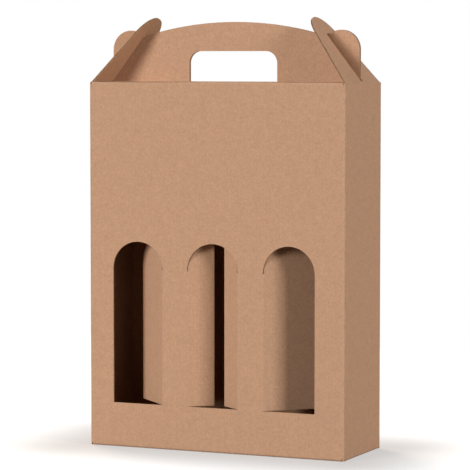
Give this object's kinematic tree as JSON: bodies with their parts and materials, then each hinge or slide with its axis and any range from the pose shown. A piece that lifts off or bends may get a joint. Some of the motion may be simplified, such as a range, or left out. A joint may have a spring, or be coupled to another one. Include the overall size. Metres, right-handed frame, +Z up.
{
  "type": "bottle carrier box",
  "caption": "Folded kraft corrugated carry box for bottles, with a carrying handle held by slotted lock flaps and arched front windows whose flaps fold in as dividers.",
  "frame": {"origin": "middle of the bottom, on the surface the box stands on", "axes": "+X to the right along the width, +Y to the rear, +Z up; the windows are in the -Y wall"},
  "size_m": [0.255, 0.09, 0.3977],
  "materials": {
    "kraft_board": "unprinted brown kraft liner over a fine flute, matt, with faint flute lines"
  },
  "bodies": {
    "carton": {"carton": "kraft_board"},
    "left_lock_flap": {"left_lock_flap": "kraft_board"},
    "right_lock_flap": {"right_lock_flap": "kraft_board"},
    "left_window_flap": {"left_window_flap": "kraft_board"},
    "middle_left_window_flap": {"middle_left_window_flap": "kraft_board"},
    "middle_right_window_flap": {"middle_right_window_flap": "kraft_board"},
    "right_window_flap": {"right_window_flap": "kraft_board"}
  },
  "joints": [
    {"name": "left_lock_hinge", "type": "hinge", "parent": "carton", "child": "left_lock_flap", "pos_m": [-0.12675, 0, 0.33725], "axis": [0, -1, 0], "range_deg": [0, 130]},
    {"name": "right_lock_hinge", "type": "hinge", "parent": "carton", "child": "right_lock_flap", "pos_m": [0.12675, 0, 0.33725], "axis": [0, 1, 0], "range_deg": [0, 130]},
    {"name": "left_window_hinge", "type": "hinge", "parent": "carton", "child": "left_window_flap", "pos_m": [-0.0526, -0.04425, 0.1036], "axis": [0, 0, -1], "range_deg": [-43.5, 46.5]},
    {"name": "middle_left_window_hinge", "type": "hinge", "parent": "carton", "child": "middle_left_window_flap", "pos_m": [-0.0276, -0.04425, 0.1036], "axis": [0, 0, 1], "range_deg": [-38, 52]},
    {"name": "middle_right_window_hinge", "type": "hinge", "parent": "carton", "child": "middle_right_window_flap", "pos_m": [0.023, -0.04425, 0.1036], "axis": [0, 0, -1], "range_deg": [-38, 52]},
    {"name": "right_window_hinge", "type": "hinge", "parent": "carton", "child": "right_window_flap", "pos_m": [0.048, -0.04425, 0.1036], "axis": [0, 0, 1], "range_deg": [-43.5, 46.5]}
  ]
}
